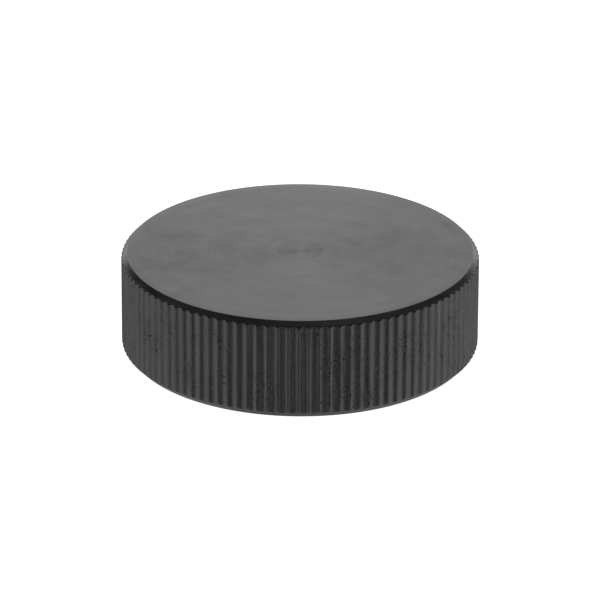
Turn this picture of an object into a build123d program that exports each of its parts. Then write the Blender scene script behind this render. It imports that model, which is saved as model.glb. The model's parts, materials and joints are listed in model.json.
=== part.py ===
from build123d import *
from math import cos, pi, radians, sin, tan
import os

# Knurled screw-on cap for a pipe end with a G 2 parallel thread, in millimetres.
# The cap stands on its open rim: the origin is the centre of the rim face and +Z runs up to the
# closed top, so the pipe screws in from below. A flat gasket and a slip washer lie loose between
# the end of the thread and the seat, and the pipe's end face presses them up against the seat.

# ---- Thread, to the proportions of a G 2 parallel pipe thread ----
thread_root_diameter = 59.8     # bottom of the groove, clear of the pipe's 59.6
thread_depth = 1.3              # radial, from the groove's bottom to the ridge's crest
thread_pitch = 25.4 / 11        # 11 turns to the inch
thread_flank_angle = 27.5       # degrees between a flank and a plane across the axis
thread_root_flat = 0.29         # width of the groove's bottom
thread_overrun = 0.4            # how far the groove's cutter reaches into the open bore
thread_start_angle = 45.0       # degrees round from +X, where the groove opens into the mouth
bore_seam_angles = (0, 225)     # degrees from +X, where the bore's seam may lie clear of the groove

# ---- Outside ----
skirt_wall = 5.1                # from the thread's root to the crests of the knurl
cap_height = 20.2
top_wall = 4.0                  # over the seat
top_chamfer_width = 1.15
top_chamfer_height = 1.15
rim_chamfer = 1.55
centre_mark_diameter = 9.4      # shallow disc where the facing tool finished
centre_mark_depth = 0.03

# ---- Straight knurl over the whole side ----
knurl_pitch = 2.0               # nominal, as the teeth are a whole number
knurl_depth = 0.28              # from the crests to the bottoms of the hollow valleys
knurl_crest_width = 0.3
knurl_crest_crown = 0.02        # how far the crest's middle stands above its edges

# ---- Mouth ----
mouth_depth = 1.2               # plain counterbore that guides the pipe on
mouth_clearance = 0.2           # radial, outside the thread's root
mouth_chamfer = 0.7

# ---- Seal recess, gasket and slip washer ----
recess_undercut = 0.4           # radial, outside the thread's root
recess_fillet = 0.3
gasket_clearance = 0.4          # radial, to the recess wall
gasket_width = 4.9              # radial
gasket_thickness = 3.0
gasket_edge = 0.25
washer_inset = 0.2              # radial, inside both edges of the gasket
washer_thickness = 0.5
washer_edge = 0.08
seal_play = 0.4                 # axial, before the pipe presses the washer on the seat
relief_inset = 1.5              # radial, from the gasket's hole to the hollowed middle of the seat
relief_depth = 0.8
relief_fillet = 0.5

# ---- Radii and levels that follow from the sizes above ----
thread_root_radius = thread_root_diameter / 2
thread_crest_radius = thread_root_radius - thread_depth
cap_radius = thread_root_radius + skirt_wall
mouth_radius = thread_root_radius + mouth_clearance
recess_radius = thread_root_radius + recess_undercut
gasket_radius = recess_radius - gasket_clearance
gasket_hole_radius = gasket_radius - gasket_width
relief_radius = gasket_hole_radius - relief_inset

seat_level = cap_height - top_wall
washer_level = seat_level - seal_play - washer_thickness
gasket_level = washer_level - gasket_thickness      # the thread ends here, as a ledge
lead_in_level = mouth_depth + mouth_radius - thread_crest_radius


def turned(points, rounded=()):
    """A solid of revolution about Z: its half section, with (point, radius) pairs to fillet."""
    section = make_face(Polyline(*points, close=True))
    for point, radius in rounded:
        corner = section.vertices().sort_by_distance(Vector(*point))[0]
        section = fillet(corner, radius)
    return revolve(Plane.XZ * section, Axis.Z)


def knurled_bar():
    """The full round of teeth: narrow crowned crests with shallow hollow valleys between them."""
    teeth = round(2 * pi * cap_radius / knurl_pitch)
    step = 2 * pi / teeth
    half_crest = knurl_crest_width / 2 / cap_radius
    valley_radius = cap_radius - knurl_depth
    crest_edge_radius = cap_radius - knurl_crest_crown

    def at(radius, angle):
        return (radius * cos(angle), radius * sin(angle))

    outline = []
    for tooth in range(teeth):
        middle = tooth * step
        crest_start = at(crest_edge_radius, middle - half_crest)
        crest_end = at(crest_edge_radius, middle + half_crest)
        next_start = at(crest_edge_radius, middle + step - half_crest)
        valley_bottom = at(valley_radius, middle + step / 2)
        outline.append(ThreePointArc(crest_start, at(cap_radius, middle), crest_end))
        outline.append(ThreePointArc(crest_end, valley_bottom, next_start))
    return extrude(make_face(outline), cap_height)


def cap_outside():
    """The turned blank, with both chamfers and the mark in the middle of its top."""
    mark_radius = centre_mark_diameter / 2
    mark_level = cap_height - centre_mark_depth
    blank = turned([
        (0, 0),
        (cap_radius - rim_chamfer, 0),
        (cap_radius, rim_chamfer),
        (cap_radius, cap_height - top_chamfer_height),
        (cap_radius - top_chamfer_width, cap_height),
        (mark_radius, cap_height),
        (mark_radius - centre_mark_depth, mark_level),
        (0, mark_level),
    ])
    return knurled_bar() & blank


def cap_cavity():
    """Everything bored from below, before the thread: mouth, thread bore, recess and relief."""
    recess_corner = (recess_radius, seat_level)
    relief_corner = (relief_radius, seat_level + relief_depth)
    return turned(
        [
            (0, 0),
            (mouth_radius + mouth_chamfer, 0),
            (mouth_radius, mouth_chamfer),
            (mouth_radius, mouth_depth),
            (thread_crest_radius, lead_in_level),
            (thread_crest_radius, gasket_level),
            (recess_radius, gasket_level),
            recess_corner,
            (relief_radius, seat_level),
            relief_corner,
            (0, seat_level + relief_depth),
        ],
        [(recess_corner, recess_fillet), (relief_corner, relief_fillet)],
    )


def thread_groove():
    """The helical cutter, which starts in the open mouth and runs out in the open recess."""
    slope = tan(radians(thread_flank_angle))
    root_half = thread_root_flat / 2
    open_half = root_half + (thread_depth + thread_overrun) * slope
    start = mouth_depth - root_half
    finish = gasket_level + open_half
    inner = thread_crest_radius - thread_overrun
    profile = make_face(Polyline(
        (inner, start - open_half),
        (thread_root_radius, start - root_half),
        (thread_root_radius, start + root_half),
        (inner, start + open_half),
        close=True,
    ))
    path = Helix(thread_pitch, finish - start, thread_crest_radius, center=(0, 0, start))
    return Rot(Z=thread_start_angle) * sweep(Plane.XZ * profile, path, is_frenet=True)


def ring(outer, hole, level, thickness, edge):
    """A flat ring with lightly broken edges, lying at a level."""
    top = level + thickness
    return turned([
        (hole + edge, level),
        (outer - edge, level),
        (outer, level + edge),
        (outer, top - edge),
        (outer - edge, top),
        (hole + edge, top),
        (hole, top - edge),
        (hole, level + edge),
    ])


def cap_body():
    """The one-piece screwed cap, turned and knurled from black plastic bar."""
    outside = cap_outside()
    for seam_angle in bore_seam_angles:
        bored = outside - Rot(Z=seam_angle) * cap_cavity()
        threaded = bored - thread_groove()
        if threaded.faces().filter_by(GeomType.BSPLINE):
            return threaded
    raise ValueError("the thread groove has missed the bore")


def seal_gasket():
    """The flat rubber ring, wider than the thread's bore, so it stays in the recess."""
    return ring(gasket_radius, gasket_hole_radius, gasket_level, gasket_thickness, gasket_edge)


def slip_washer():
    """The thin low-friction ring that lets the cap turn without dragging the gasket round."""
    outer = gasket_radius - washer_inset
    hole = gasket_hole_radius + washer_inset
    return ring(outer, hole, washer_level, washer_thickness, washer_edge)


os.makedirs("parts", exist_ok=True)
for make in (cap_body, seal_gasket, slip_washer):
    export_step(make(), f"parts/{make.__name__}.step")
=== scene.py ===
import json
import math
import bpy
import bmesh
from mathutils import Matrix, Vector


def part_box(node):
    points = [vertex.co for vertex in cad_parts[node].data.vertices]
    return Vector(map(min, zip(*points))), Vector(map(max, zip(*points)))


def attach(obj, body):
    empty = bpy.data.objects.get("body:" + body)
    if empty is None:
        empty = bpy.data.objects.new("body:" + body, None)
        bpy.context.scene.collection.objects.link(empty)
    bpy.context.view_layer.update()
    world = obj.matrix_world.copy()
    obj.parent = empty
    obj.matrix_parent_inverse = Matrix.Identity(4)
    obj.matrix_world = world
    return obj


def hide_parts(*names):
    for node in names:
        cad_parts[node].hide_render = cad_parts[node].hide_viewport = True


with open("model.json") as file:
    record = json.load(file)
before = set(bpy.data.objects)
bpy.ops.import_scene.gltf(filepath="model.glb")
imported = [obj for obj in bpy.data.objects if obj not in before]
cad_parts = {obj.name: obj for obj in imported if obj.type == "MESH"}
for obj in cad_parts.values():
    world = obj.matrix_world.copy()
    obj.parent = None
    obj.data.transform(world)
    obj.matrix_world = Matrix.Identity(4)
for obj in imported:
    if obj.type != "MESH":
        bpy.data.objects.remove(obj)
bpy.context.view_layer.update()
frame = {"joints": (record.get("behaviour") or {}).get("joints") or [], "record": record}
mm = 0.001


def mountNamed(name):
    return next(m for m in frame["record"]["mounts"] if m["name"] == name)


def jointNamed(name):
    return next(j for j in frame["joints"] if j["name"] == name)


def spunShell(bm, section, columns, startAngle=0.0, rise=0.0):
    # turns a half section of (radius, height) points once round Z, rising by a whole turn's lead
    turn = Matrix.Rotation(startAngle, 4, "Z")
    verts = [bm.verts.new(turn @ Vector((r, 0, z))) for r, z in section]
    edges = [bm.edges.new(pair) for pair in zip(verts, verts[1:])]
    bmesh.ops.spin(bm, geom=verts + edges, cent=(0, 0, 0), axis=(0, 0, 1), dvec=(0, 0, rise / columns),
                   angle=2 * math.pi, steps=columns, use_merge=(rise == 0))


def looseEdgesAt(bm, height, low, high):
    # open edges that lie in one level plane, between two radii
    found = []
    for edge in bm.edges:
        if len(edge.link_faces) != 1:
            continue
        if all(abs(v.co.z - height) < 1e-7 and low < v.co.xy.length < high for v in edge.verts):
            found.append(edge)
    return found


def fillLevel(bm, height, low, high):
    bmesh.ops.triangle_fill(bm, use_beauty=True, edges=looseEdgesAt(bm, height, low, high), normal=(0, 0, 1))


def pieceFrom(bm, name, sharpAngle=32):
    bmesh.ops.remove_doubles(bm, verts=bm.verts, dist=1e-7)
    bmesh.ops.recalc_face_normals(bm, faces=bm.faces)
    for face in bm.faces:
        face.smooth = True
    for edge in bm.edges:
        edge.smooth = edge.calc_face_angle(0) < math.radians(sharpAngle)
    mesh = bpy.data.meshes.new(name)
    bm.to_mesh(mesh)
    bm.free()
    piece = bpy.data.objects.new(name, mesh)
    bpy.context.scene.collection.objects.link(piece)
    return piece


def newMaterial(name):
    material = bpy.data.materials.new(name)
    material.use_nodes = True
    nodes = material.node_tree.nodes
    return material, nodes, material.node_tree.links, nodes["Principled BSDF"]


capLow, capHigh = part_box("cap_body")
gasketLow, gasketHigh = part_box("seal_gasket")
washerLow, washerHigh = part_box("slip_washer")
threadMount = mountNamed("thread")

cap = {
    "radius": capHigh.x,
    "height": capHigh.z,
    "teeth": 110,
    "toothColumns": 12,
    "valleyDepth": 0.28 * mm,
    "crestWidth": 0.30 * mm,
    "crestCrown": 0.02 * mm,
    "topChamfer": 1.15 * mm,
    "rimChamfer": 1.55 * mm,
    "edgeBreak": 0.04 * mm,
    "markRadius": 4.7 * mm,
    "markDepth": 0.03 * mm,
    "markSlope": 0.35 * mm,
    "faceColumns": 120,
    "boreColumns": 180,
    "mouthRadius": 30.1 * mm,
    "mouthChamfer": 0.7 * mm,
    "mouthDepth": 1.2 * mm,
    "crestRadius": threadMount["dims"]["r_mm"] * mm,
    "rootRadius": 29.9 * mm,
    "rootFlat": 0.29 * mm,
    "flankAngle": 27.5,
    "pitch": 25.4 * mm / 11,
    "grooveStart": 1.055 * mm,
    "grooveAngle": 45,
    "ledge": gasketLow.z,
    "gasketClearance": 0.4 * mm,
    "recessFillet": 0.3 * mm,
    "seat": washerHigh.z + jointNamed("seal_float")["range_m"][1],
    "reliefRadius": 23.5 * mm,
    "reliefDepth": 0.8 * mm,
    "reliefFillet": 0.5 * mm,
}
cap["recessRadius"] = gasketHigh.x + cap["gasketClearance"]


def toothDepth(along, halfPitch):
    # how far the side lies below the crests, by the distance from a crest's middle
    s = cap
    halfCrest = s["crestWidth"] / 2
    if along <= halfCrest:
        return s["crestCrown"] * (along / halfCrest) ** 2
    # the valley is hollowed to one arc
    halfValley, hollow = halfPitch - halfCrest, s["valleyDepth"] - s["crestCrown"]
    arc = (halfValley ** 2 + hollow ** 2) / (2 * hollow)
    return s["valleyDepth"] - arc + math.sqrt(arc ** 2 - (halfPitch - along) ** 2)


# where the columns of half a tooth stand, as shares of half a pitch
columnShares = [0, 0.09, 0.15, 0.27, 0.44, 0.7, 1.0]


def knurlSide(bm):
    # the turned side, then every column is pushed in to the tooth's section
    s = cap
    outer, top, e = s["radius"], s["height"], s["edgeBreak"]
    edgeRadius, corner, rim = outer - s["topChamfer"], top - s["topChamfer"], s["rimChamfer"]
    section = [
        (edgeRadius - 2 * e, top), (edgeRadius - 0.6 * e, top - 0.12 * e),
        (edgeRadius + 0.5 * e, top - 0.6 * e), (edgeRadius + 2 * e, top - 2 * e),
        (edgeRadius + 0.3 * mm, top - 0.3 * mm), (edgeRadius + 0.6 * mm, top - 0.6 * mm),
        (outer - e, corner + e), (outer - 0.2 * e, corner - 0.1 * e), (outer, corner - 1.2 * e),
        (outer, corner - 0.5 * mm), (outer, top * 0.7), (outer, top * 0.5), (outer, top * 0.3),
        (outer, rim + 0.5 * mm),
        (outer, rim + 1.2 * e), (outer - 0.2 * e, rim + 0.1 * e), (outer - e, rim - e),
        (outer - 0.6 * mm, rim - 0.6 * mm), (outer - 1.1 * mm, rim - 1.1 * mm),
        (outer - rim + e, e), (outer - rim + 0.3 * e, 0.3 * e), (outer - rim - e, 0),
    ]
    spunShell(bm, section, s["teeth"] * s["toothColumns"])
    half = s["toothColumns"] // 2
    step = 2 * math.pi / s["teeth"]
    for vert in bm.verts:
        r = vert.co.xy.length
        angle = math.atan2(vert.co.y, vert.co.x)
        tooth = round(angle / step)
        place = round((angle - tooth * step) / step * s["toothColumns"])
        share = columnShares[min(abs(place), half)]
        angle = tooth * step + math.copysign(share * step / 2, place)
        if r > outer - 1.5 * e:
            depth = toothDepth(share * step / 2 * outer, step / 2 * outer)
            r -= depth
            if vert.co.z > corner - 2 * e:
                vert.co.z += depth      # the corners slide along the chamfers
            elif vert.co.z < rim + 2 * e:
                vert.co.z -= depth
        vert.co.x, vert.co.y = r * math.cos(angle), r * math.sin(angle)


def topFace(bm):
    # the faced top, and the shallow disc where the facing tool finished
    s = cap
    top, mark, depth, slope = s["height"], s["markRadius"], s["markDepth"], s["markSlope"]
    spunShell(bm, [
        (s["radius"] - 3 * mm, top), (s["radius"] * 0.6, top), (s["radius"] * 0.25, top),
        (mark + 2 * slope, top), (mark + slope, top), (mark + 0.4 * slope, top - 0.2 * depth),
        (mark - 0.4 * slope, top - 0.8 * depth), (mark - slope, top - depth), (mark - 2 * slope, top - depth),
        (mark * 0.5, top - depth), (0, top - depth),
    ], s["faceColumns"])


def threadWall(bm):
    # one pitch of ridge and groove, repeated up the bore and turned round with the lead
    s = cap
    tangent = math.tan(math.radians(s["flankAngle"]))
    crest, root, pitch = s["crestRadius"], s["rootRadius"], s["pitch"]
    rootHalf = s["rootFlat"] / 2
    crestHalf = pitch / 2 - rootHalf - (root - crest) * tangent
    soft = 0.04 * mm
    flank = []
    for share in (0.25, 0.5, 0.75):
        flank.append((crest + share * (root - crest), crestHalf + share * (root - crest) * tangent))
    halfRidge = [(crest, crestHalf - 2 * soft), (crest + 0.3 * soft, crestHalf)] + flank
    halfRidge += [(root - 0.3 * soft, pitch / 2 - rootHalf), (root, pitch / 2 - rootHalf + soft)]
    ridge = [(r, -z) for r, z in reversed(halfRidge)] + [(crest, 0)] + halfRidge
    turns = math.ceil((s["ledge"] - s["mouthDepth"]) / pitch) + 2
    section = []
    for turn in range(turns):
        middle = s["grooveStart"] + (turn - 1.5) * pitch
        section += [(r, middle + z) for r, z in ridge]
    spunShell(bm, section, s["boreColumns"], math.radians(s["grooveAngle"]), rise=pitch)
    bmesh.ops.remove_doubles(bm, verts=bm.verts, dist=1e-7)
    for vert in bm.verts:
        height = max(vert.co.z, s["mouthDepth"])
        cone = s["mouthRadius"] - (height - s["mouthDepth"])
        r = max(vert.co.xy.length, cone)
        vert.co.xy = vert.co.xy.normalized() * r
        vert.co.z = height
    bmesh.ops.remove_doubles(bm, verts=bm.verts, dist=1e-7)
    bmesh.ops.bisect_plane(bm, geom=bm.verts[:] + bm.edges[:] + bm.faces[:], dist=1e-8,
                           plane_co=(0, 0, s["ledge"]), plane_no=(0, 0, 1), clear_outer=True)


def filletPoints(cx, cz, radius, start, stop, steps=5):
    points = []
    for i in range(steps + 1):
        angle = math.radians(start + (stop - start) * i / steps)
        points.append((cx + radius * math.cos(angle), cz + radius * math.sin(angle)))
    return points


def boreWalls(bm):
    s = cap
    e = s["edgeBreak"]
    start = math.radians(s["grooveAngle"])
    lip = s["mouthRadius"] + s["mouthChamfer"]
    spunShell(bm, [(lip + e, 0), (lip - 0.3 * e, 0.3 * e), (lip - e, e),
                   (s["mouthRadius"] + e, s["mouthChamfer"] - e), (s["mouthRadius"], s["mouthChamfer"] + e),
                   (s["mouthRadius"], s["mouthDepth"])], s["boreColumns"], start)
    recess, seat = s["recessRadius"], s["seat"]
    relief, roof = s["reliefRadius"], s["seat"] + s["reliefDepth"]
    soft, roofSoft = s["recessFillet"], s["reliefFillet"]
    spunShell(bm, [(recess, s["ledge"]), (recess, (s["ledge"] + seat) / 2)]
              + filletPoints(recess - soft, seat - soft, soft, 0, 90)
              + [(relief + 2 * e, seat), (relief + e, seat + 0.3 * e), (relief, seat + e)]
              + filletPoints(relief - roofSoft, roof - roofSoft, roofSoft, 0, 90)
              + [(relief * 0.6, roof), (relief * 0.2, roof), (0, roof)], s["boreColumns"], start)


def makeCap():
    bm = bmesh.new()
    threadWall(bm)
    boreWalls(bm)
    outside = bmesh.new()
    knurlSide(outside)
    holder = bpy.data.meshes.new("holder")
    outside.to_mesh(holder)
    outside.free()
    bm.from_mesh(holder)
    bpy.data.meshes.remove(holder)
    topFace(bm)
    bmesh.ops.remove_doubles(bm, verts=bm.verts, dist=1e-7)
    fillLevel(bm, cap["height"], cap["radius"] / 2, cap["radius"])
    fillLevel(bm, 0, cap["mouthRadius"], cap["radius"])
    fillLevel(bm, cap["ledge"], cap["crestRadius"] - 0.1 * mm, cap["recessRadius"] + 0.1 * mm)
    print("cap open edges:", sum(1 for e in bm.edges if len(e.link_faces) != 2))
    return pieceFrom(bm, "knurledCap")


def mathNode(tree, operation, *inputs):
    node = tree.nodes.new("ShaderNodeMath")
    node.operation = operation
    for socket, value in zip(node.inputs, inputs):
        if isinstance(value, (int, float)):
            socket.default_value = value
        else:
            tree.links.new(value, socket)
    return node.outputs[0]


def rangeNode(tree, value, fromLow, fromHigh, toLow=0.0, toHigh=1.0, shape="SMOOTHSTEP"):
    node = tree.nodes.new("ShaderNodeMapRange")
    node.interpolation_type = shape
    tree.links.new(value, node.inputs["Value"])
    ends = {"From Min": fromLow, "From Max": fromHigh, "To Min": toLow, "To Max": toHigh}
    for name, number in ends.items():
        node.inputs[name].default_value = number
    return node.outputs["Result"]


def stretchNode(tree, vector, factors):
    node = tree.nodes.new("ShaderNodeVectorMath")
    node.operation = "MULTIPLY"
    tree.links.new(vector, node.inputs[0])
    node.inputs[1].default_value = factors
    return node.outputs[0]


def noiseNode(tree, vector, scale, detail=2.0, sharpness=0.5, fourth=None):
    node = tree.nodes.new("ShaderNodeTexNoise")
    if fourth is not None:
        node.noise_dimensions = "4D"
        tree.links.new(fourth, node.inputs["W"])
    tree.links.new(vector, node.inputs["Vector"])
    node.inputs["Scale"].default_value = scale
    node.inputs["Detail"].default_value = detail
    node.inputs["Roughness"].default_value = sharpness
    return node.outputs["Fac"]


def swayNode(tree, noise, weight, middle):
    # a value that a noise moves to both sides of its middle
    return mathNode(tree, "MULTIPLY_ADD", mathNode(tree, "SUBTRACT", noise, 0.5), weight, middle)


def bumpNode(tree, height, distance, under=None):
    node = tree.nodes.new("ShaderNodeBump")
    node.inputs["Strength"].default_value = 1.0
    node.inputs["Distance"].default_value = distance
    tree.links.new(height, node.inputs["Height"])
    if under is not None:
        tree.links.new(under, node.inputs["Normal"])
    return node.outputs["Normal"]


def placeNodes(tree):
    # object position, its distance from the axis, its height, and its direction from the axis
    position = tree.nodes.new("ShaderNodeTexCoord").outputs["Object"]
    flat = stretchNode(tree, position, (1, 1, 0))
    reach = tree.nodes.new("ShaderNodeVectorMath")
    reach.operation = "LENGTH"
    tree.links.new(flat, reach.inputs[0])
    direction = tree.nodes.new("ShaderNodeVectorMath")
    direction.operation = "NORMALIZE"
    tree.links.new(flat, direction.inputs[0])
    split = tree.nodes.new("ShaderNodeSeparateXYZ")
    tree.links.new(position, split.inputs[0])
    return position, reach.outputs["Value"], split.outputs["Z"], direction.outputs[0]


def shadeBetween(tree, amount, dark, light):
    node = tree.nodes.new("ShaderNodeMix")
    node.data_type = "RGBA"
    tree.links.new(amount, node.inputs["Factor"])
    node.inputs[6].default_value = (*dark, 1)
    node.inputs[7].default_value = (*light, 1)
    return node.outputs[2]


finish = {
    "dark": (0.004, 0.004, 0.0042),
    "light": (0.080, 0.080, 0.081),
    "turnedRoughness": 0.28,
    "turnedGrain": 0.5,      # how much the tool rings stretch the reflections
    "knurlRoughness": 0.19,
    "toolPitch": 1.1 * mm,
    "toolMarkHeight": 0.010 * mm,
    "waveHeight": 0.07 * mm,
    "streakWidth": 0.5 * mm,
    "streakHeight": 0.045 * mm,
    "unevenWidth": 1.6 * mm,
    "unevenHeight": 0.10 * mm,
    "grainSize": 0.8 * mm,
    "grainHeight": 0.020 * mm,
    "drift": {"rings": 45, "broad": 30},      # how fast the tool rings fade in and out round the cap
    "scale": {"paintedSheenWedges": 1.1, "clouds": 85, "mottle": 190, "patches": 160, "hairs": 2800, "specks": 2200},
    # in the turned shade, the share for sectors round the axis is painted sheen, and the edge share is a
    # painted highlight along the top face's outer edge
    "turnedShade": {"middle": 0.37, "paintedSheenWedges": 1.3, "mottle": 0.55, "broad": 0.7, "rings": 0.5, "edge": 0.25},
    "knurlShade": {"middle": 0.19, "streaks": 1.0, "grain": 0.7, "specks": -0.4, "hairs": 0.30},
    "turnedMatt": {"mottle": 0.22, "rings": 0.10, "mark": 0.05},      # added to the roughness
    "knurlMatt": {"grain": 0.9, "streaks": 0.30, "specks": 0.6, "patches": 0.25, "crest": 0.30},
}


def capMaterial():
    # black plastic bar: faced and bored with faint tool rings, and a drawn, grainy knurl
    f, s = finish, cap
    material, nodes, links, shader = newMaterial("turnedPlastic")
    tree = material.node_tree
    position, reach, height, direction = placeNodes(tree)
    outer, top = s["radius"], s["height"]
    drift, scale = f["drift"], f["scale"]

    onSide = rangeNode(tree, reach, outer - 0.36 * mm, outer - 0.30 * mm)
    onTop = rangeNode(tree, height, top - 0.06 * mm, top - 0.02 * mm)
    offSide = mathNode(tree, "SUBTRACT", 1.0, onSide)
    crest = rangeNode(tree, reach, outer - 0.05 * mm, outer - 0.015 * mm)
    # painted highlight: the top face is made lighter within 0.45 mm of its outer edge, where the chamfer
    # meets it
    paintedEdgeHighlight = rangeNode(tree, reach, outer - s["topChamfer"] - 0.45 * mm, outer - s["topChamfer"])
    paintedEdgeHighlight = mathNode(tree, "MULTIPLY", paintedEdgeHighlight, onTop)
    inMark = rangeNode(tree, reach, s["markRadius"] - 0.2 * mm, s["markRadius"] + 0.2 * mm, 1.0, 0.0)
    inMark = mathNode(tree, "MULTIPLY", inMark, onTop)

    # rings of the tool, which fade in and out slowly round the cap
    along = mathNode(tree, "MULTIPLY_ADD", height, 0.6, reach)
    rings = noiseNode(tree, stretchNode(tree, position, (drift["rings"],) * 3), 1.0, 1.0, 0.5,
                      fourth=mathNode(tree, "DIVIDE", along, f["toolPitch"]))
    broad = noiseNode(tree, stretchNode(tree, position, (drift["broad"],) * 3), 1.0, 1.0, 0.5,
                      fourth=mathNode(tree, "DIVIDE", along, 5 * f["toolPitch"]))
    # painted sheen: the turned faces are made lighter and darker in broad sectors round the axis, standing in
    # for the bow-tie reflection of the tool rings
    paintedSheenWedges = noiseNode(tree, direction, scale["paintedSheenWedges"], 1.0, 0.4)
    clouds = noiseNode(tree, position, scale["clouds"], 2.0, 0.5)
    mottle = noiseNode(tree, position, scale["mottle"], 3.0, 0.55)
    streaks = noiseNode(tree, stretchNode(tree, position, (1, 1, 0.035)), 1 / f["streakWidth"], 3.0, 0.62)
    patches = noiseNode(tree, position, scale["patches"], 2.0, 0.5)
    hairs = noiseNode(tree, stretchNode(tree, position, (1, 1, 0.008)), scale["hairs"], 1.0, 0.5)
    hairs = rangeNode(tree, hairs, 0.60, 0.72)
    grain = noiseNode(tree, position, 1 / f["grainSize"], 3.0, 0.7)
    uneven = noiseNode(tree, stretchNode(tree, position, (1, 1, 0.05)), 1 / f["unevenWidth"], 1.0, 0.5)
    specks = rangeNode(tree, noiseNode(tree, position, scale["specks"], 2.0, 0.6), 0.58, 0.68)
    specks = mathNode(tree, "MULTIPLY", specks, rangeNode(tree, patches, 0.40, 0.62))
    specks = mathNode(tree, "MULTIPLY", specks, onSide)

    # lightness of the surface, first where it was turned, with painted sheen in sectors round the axis and a
    # painted highlight along the top face's outer edge, then on the knurl
    shade = f["turnedShade"]
    turned = swayNode(tree, paintedSheenWedges, shade["paintedSheenWedges"], shade["middle"])
    turned = swayNode(tree, mottle, shade["mottle"], turned)
    turned = swayNode(tree, broad, shade["broad"], turned)
    turned = swayNode(tree, rings, shade["rings"], turned)
    # the painted highlight along the top face's outer edge is added to the lightness here
    turned = mathNode(tree, "MULTIPLY_ADD", paintedEdgeHighlight, shade["edge"], turned)
    shade = f["knurlShade"]
    knurled = swayNode(tree, streaks, shade["streaks"], shade["middle"])
    knurled = swayNode(tree, grain, shade["grain"], knurled)
    knurled = mathNode(tree, "MULTIPLY_ADD", specks, shade["specks"], knurled)
    knurled = mathNode(tree, "MULTIPLY_ADD", hairs, shade["hairs"], knurled)
    lightness = tree.nodes.new("ShaderNodeMix")
    links.new(onSide, lightness.inputs["Factor"])
    links.new(turned, lightness.inputs["A"])
    links.new(knurled, lightness.inputs["B"])
    shown = shadeBetween(tree, lightness.outputs["Result"], f["dark"], f["light"])
    links.new(shown, shader.inputs["Base Color"])

    matt = f["turnedMatt"]
    roughTurned = swayNode(tree, mottle, matt["mottle"], f["turnedRoughness"])
    roughTurned = swayNode(tree, rings, matt["rings"], roughTurned)
    roughTurned = mathNode(tree, "MULTIPLY_ADD", inMark, matt["mark"], roughTurned)
    matt = f["knurlMatt"]
    roughKnurl = swayNode(tree, grain, matt["grain"], f["knurlRoughness"])
    roughKnurl = swayNode(tree, streaks, matt["streaks"], roughKnurl)
    roughKnurl = mathNode(tree, "MULTIPLY_ADD", specks, matt["specks"], roughKnurl)
    roughPatches = rangeNode(tree, patches, 0.55, 0.75)
    roughKnurl = mathNode(tree, "MULTIPLY_ADD", roughPatches, matt["patches"], roughKnurl)
    roughKnurl = mathNode(tree, "MULTIPLY_ADD", crest, matt["crest"], roughKnurl)
    rough = tree.nodes.new("ShaderNodeMix")
    rough.clamp_factor = True
    links.new(onSide, rough.inputs["Factor"])
    links.new(roughTurned, rough.inputs["A"])
    links.new(roughKnurl, rough.inputs["B"])
    kept = rangeNode(tree, rough.outputs["Result"], 0.0, 1.0, 0.0, 1.0, "LINEAR")
    links.new(kept, shader.inputs["Roughness"])

    marks = mathNode(tree, "MULTIPLY", rings, offSide)
    marks = mathNode(tree, "MULTIPLY", marks, rangeNode(tree, inMark, 0, 1, 1.0, 2.2))
    normal = bumpNode(tree, marks, f["toolMarkHeight"])
    waves = mathNode(tree, "MULTIPLY_ADD", clouds, 2.0, broad)
    waves = mathNode(tree, "MULTIPLY", waves, offSide)
    normal = bumpNode(tree, waves, f["waveHeight"], normal)
    normal = bumpNode(tree, mathNode(tree, "MULTIPLY", uneven, onSide), f["unevenHeight"], normal)
    normal = bumpNode(tree, mathNode(tree, "MULTIPLY", streaks, onSide), f["streakHeight"], normal)
    normal = bumpNode(tree, mathNode(tree, "MULTIPLY", grain, onSide), f["grainHeight"], normal)
    links.new(normal, shader.inputs["Normal"])
    links.new(rangeNode(tree, specks, 0.0, 1.0, 0.5, 0.22), shader.inputs["Specular IOR Level"])

    # the tool went round the axis
    sweep = nodes.new("ShaderNodeVectorMath")
    sweep.operation = "CROSS_PRODUCT"
    sweep.inputs[0].default_value = (0, 0, 1)
    links.new(direction, sweep.inputs[1])
    turn = nodes.new("ShaderNodeVectorTransform")
    turn.vector_type = "VECTOR"
    turn.convert_from, turn.convert_to = "OBJECT", "WORLD"
    links.new(sweep.outputs[0], turn.inputs[0])
    links.new(turn.outputs[0], shader.inputs["Tangent"])
    shader.inputs["Anisotropic"].default_value = f["turnedGrain"]
    shader.inputs["IOR"].default_value = 1.5
    return material


def rubberMaterial():
    # matt black rubber sheet with a fine grain and a little dust
    material, nodes, links, shader = newMaterial("gasketRubber")
    tree = material.node_tree
    position = placeNodes(tree)[0]
    grain = noiseNode(tree, position, 1400, 4.0, 0.65)
    cloud = noiseNode(tree, position, 120, 3.0, 0.55)
    dust = rangeNode(tree, noiseNode(tree, position, 2100, 1.0, 0.5), 0.66, 0.74)
    shade = mathNode(tree, "MULTIPLY_ADD", cloud, 0.6, -0.1)
    shade = mathNode(tree, "MULTIPLY_ADD", dust, 0.5, shade)
    shown = shadeBetween(tree, shade, (0.010, 0.010, 0.011), (0.045, 0.044, 0.042))
    links.new(shown, shader.inputs["Base Color"])
    links.new(rangeNode(tree, grain, 0.3, 0.7, 0.52, 0.78), shader.inputs["Roughness"])
    links.new(bumpNode(tree, grain, 0.020 * mm), shader.inputs["Normal"])
    shader.inputs["IOR"].default_value = 1.52
    return material


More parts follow.
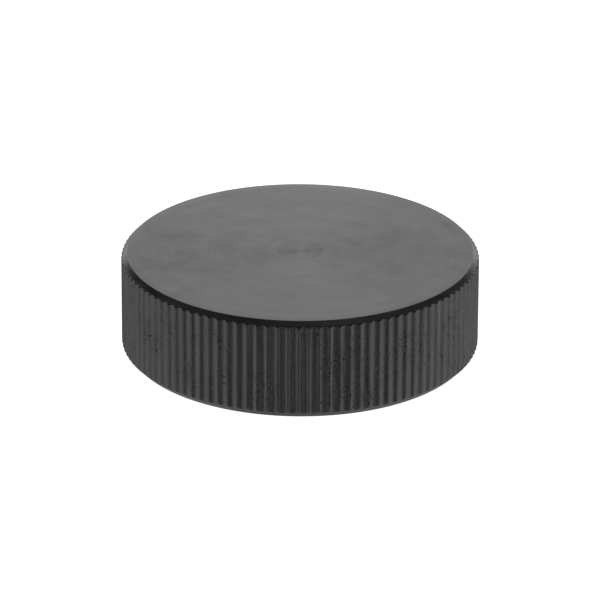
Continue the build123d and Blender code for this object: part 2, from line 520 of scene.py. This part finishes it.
def slipMaterial():
    # waxy white plastic skived thin, with faint marks of the cutter and a slight yellowing
    material, nodes, links, shader = newMaterial("slipPlastic")
    tree = material.node_tree
    position, reach = placeNodes(tree)[:2]
    cloud = noiseNode(tree, position, 150, 3.0, 0.55)
    cuts = noiseNode(tree, stretchNode(tree, position, (60, 60, 60)), 1.0, 2.0, 0.5,
                     fourth=mathNode(tree, "DIVIDE", reach, 0.3 * mm))
    links.new(shadeBetween(tree, cloud, (0.66, 0.65, 0.60), (0.80, 0.80, 0.78)), shader.inputs["Base Color"])
    links.new(rangeNode(tree, cuts, 0.3, 0.7, 0.30, 0.46), shader.inputs["Roughness"])
    links.new(bumpNode(tree, cuts, 0.006 * mm), shader.inputs["Normal"])
    shader.inputs["IOR"].default_value = 1.38
    return material


def ringPiece(name, low, high, hole, edge, columns=180):
    outer = high.x
    bm = bmesh.new()
    section = filletPoints(outer - edge, high.z - edge, edge, 90, 0, 4)
    section += filletPoints(outer - edge, low.z + edge, edge, 0, -90, 4)
    section += filletPoints(hole + edge, low.z + edge, edge, 270, 180, 4)
    section += filletPoints(hole + edge, high.z - edge, edge, 180, 90, 4)
    section.append(section[0])
    spunShell(bm, section, columns)
    bmesh.ops.remove_doubles(bm, verts=bm.verts, dist=1e-7)
    print(name, "open edges:", sum(1 for e in bm.edges if len(e.link_faces) != 2))
    return pieceFrom(bm, name)


print("making the cap")
knurledCap = makeCap()
knurledCap.data.materials.append(capMaterial())
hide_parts("cap_body")
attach(knurledCap, "cap")

print("making the seal")
gasket = {"width": 4.9 * mm, "edge": 0.25 * mm}
washer = {"inset": 0.2 * mm, "edge": 0.08 * mm}
gasketHole = gasketHigh.x - gasket["width"]
gasketPiece = ringPiece("rubberGasket", gasketLow, gasketHigh, gasketHole, gasket["edge"])
gasketPiece.data.materials.append(rubberMaterial())
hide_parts("seal_gasket")
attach(gasketPiece, "gasket")
washerPiece = ringPiece("slipWasher", washerLow, washerHigh, gasketHole + washer["inset"], washer["edge"])
washerPiece.data.materials.append(slipMaterial())
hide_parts("slip_washer")
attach(washerPiece, "washer")


studio = {
    "floorSize": 6.0,
    "cameraDistance": 1.0854,
    "cameraElevation": 23.2786,
    "cameraAzimuth": -1.25,
    "aimHeight": 9.62 * mm,
    "lens": 333.2,
    "roll": 0.2557,
    "roomGlow": 0.10,
    "tableScale": 1.4,
    "tableGlow": [(0, 0.24), (0.117, 0.26), (0.25, 0.48), (0.413, 0.74), (0.587, 0.92), (0.75, 1.0),
                  (0.883, 0.51), (0.97, 0.30), (1, 0.30)],      # from the far side round to the near side
    "tableLean": (0.97, 1.08),      # shares of that on the left and on the right
}

# name: azimuth, elevation, distance, width, height, glow
panels = {
    "backPanel": (178, 20, 1.5, 2.1, 1.36, 1.24),
    "leftPanel": (-75, 12, 1.5, 1.2, 0.7, 0.8),
    "rightPanel": (75, 12, 1.5, 1.2, 0.7, 1.0),
    "topPanel": (0, 84, 1.5, 0.9, 0.9, 0.35),
}


def makeFloor():
    # plain pale floor, seen from above only, so that it never hides the underside
    bm = bmesh.new()
    bmesh.ops.create_grid(bm, x_segments=1, y_segments=1, size=studio["floorSize"] / 2)
    mesh = bpy.data.meshes.new("floor")
    bm.to_mesh(mesh)
    bm.free()
    floor = bpy.data.objects.new("floor", mesh)
    bpy.context.scene.collection.objects.link(floor)
    material, nodes, links, shader = newMaterial("floorWhite")
    shader.inputs["Base Color"].default_value = (1, 1, 1, 1)
    shader.inputs["Emission Color"].default_value = (1, 1, 1, 1)
    shader.inputs["Emission Strength"].default_value = 1.0
    geometry = nodes.new("ShaderNodeNewGeometry")
    clear = nodes.new("ShaderNodeBsdfTransparent")
    mix = nodes.new("ShaderNodeMixShader")
    links.new(geometry.outputs["Backfacing"], mix.inputs[0])
    links.new(shader.outputs[0], mix.inputs[1])
    links.new(clear.outputs[0], mix.inputs[2])
    links.new(mix.outputs[0], nodes["Material Output"].inputs["Surface"])
    floor.data.materials.append(material)
    floor.visible_glossy = False
    floor.visible_diffuse = False
    floor.visible_shadow = False


def makeWorld():
    # a white table that is dim on the side with no light, in a dim room, and a white backdrop to look at
    s = studio
    world = bpy.data.worlds.new("studio")
    bpy.context.scene.world = world
    world.use_nodes = True
    tree = world.node_tree
    nodes, links = tree.nodes, tree.links
    towards = nodes.new("ShaderNodeTexCoord").outputs["Generated"]
    split = nodes.new("ShaderNodeSeparateXYZ")
    links.new(towards, split.inputs[0])
    flat = nodes.new("ShaderNodeVectorMath")
    flat.operation = "NORMALIZE"
    links.new(stretchNode(tree, towards, (1, 1, 0)), flat.inputs[0])
    ahead = nodes.new("ShaderNodeVectorMath")
    ahead.operation = "DOT_PRODUCT"
    ahead.inputs[1].default_value = (0, -1, 0)
    links.new(flat.outputs[0], ahead.inputs[0])
    ramp = nodes.new("ShaderNodeValToRGB")
    ramp.color_ramp.interpolation = "EASE"
    stops = ramp.color_ramp.elements
    for place, glow in s["tableGlow"]:
        stop = stops[0] if place == 0 else stops[len(stops) - 1] if place == 1 else stops.new(place)
        stop.color = (glow, glow, glow, 1)
    links.new(rangeNode(tree, ahead.outputs["Value"], -1, 1, 0, 1, "LINEAR"), ramp.inputs[0])
    table = mathNode(tree, "MULTIPLY", ramp.outputs["Color"], s["tableScale"])
    table = mathNode(tree, "MULTIPLY", table,
                     rangeNode(tree, split.outputs["X"], -0.9, 0.9, *s["tableLean"], "LINEAR"))
    below = rangeNode(tree, split.outputs["Z"], 0.03, -0.10)
    room = nodes.new("ShaderNodeMix")
    links.new(below, room.inputs["Factor"])
    room.inputs["A"].default_value = s["roomGlow"]
    links.new(table, room.inputs["B"])
    shown = nodes.new("ShaderNodeMix")
    links.new(nodes.new("ShaderNodeLightPath").outputs["Is Camera Ray"], shown.inputs["Factor"])
    links.new(room.outputs["Result"], shown.inputs["A"])
    shown.inputs["B"].default_value = 1.0
    background = nodes["Background"]
    background.inputs["Color"].default_value = (1, 1, 1, 1)
    links.new(shown.outputs["Result"], background.inputs["Strength"])


def makePanel(name, azimuth, elevation, distance, width, height, glow):
    # a soft box that faces the cap, azimuth counted from the camera's side towards +X
    a, e = math.radians(azimuth), math.radians(elevation)
    away = Vector((math.sin(a) * math.cos(e), -math.cos(a) * math.cos(e), math.sin(e)))
    light = bpy.data.lights.new(name, "AREA")
    light.shape = "RECTANGLE"
    light.size, light.size_y = width, height
    light.energy = glow * math.pi * width * height
    panel = bpy.data.objects.new(name, light)
    bpy.context.scene.collection.objects.link(panel)
    panel.location = away * distance
    panel.rotation_euler = away.to_track_quat("Z", "Y").to_euler()
    panel.visible_camera = False


def makeCamera():
    s = studio
    data = bpy.data.cameras.new("camera")
    data.lens = s["lens"]
    data.clip_end = 20
    camera = bpy.data.objects.new("camera", data)
    bpy.context.scene.collection.objects.link(camera)
    azimuth, elevation = math.radians(s["cameraAzimuth"]), math.radians(s["cameraElevation"])
    back = Vector((math.sin(azimuth) * math.cos(elevation), -math.cos(azimuth) * math.cos(elevation),
                   math.sin(elevation)))
    camera.location = Vector((0, 0, cap["height"])) + back * s["cameraDistance"]
    look = Vector((0, 0, s["aimHeight"])) - camera.location
    roll = Matrix.Rotation(math.radians(s["roll"]), 4, "Z")
    camera.matrix_world = (Matrix.Translation(camera.location)
                           @ look.to_track_quat("-Z", "Y").to_matrix().to_4x4() @ roll)
    bpy.context.scene.camera = camera


print("setting the stage")
makeFloor()
makeWorld()
for name, place in panels.items():
    makePanel(name, *place)
makeCamera()
bpy.context.scene.view_settings.view_transform = "Standard"
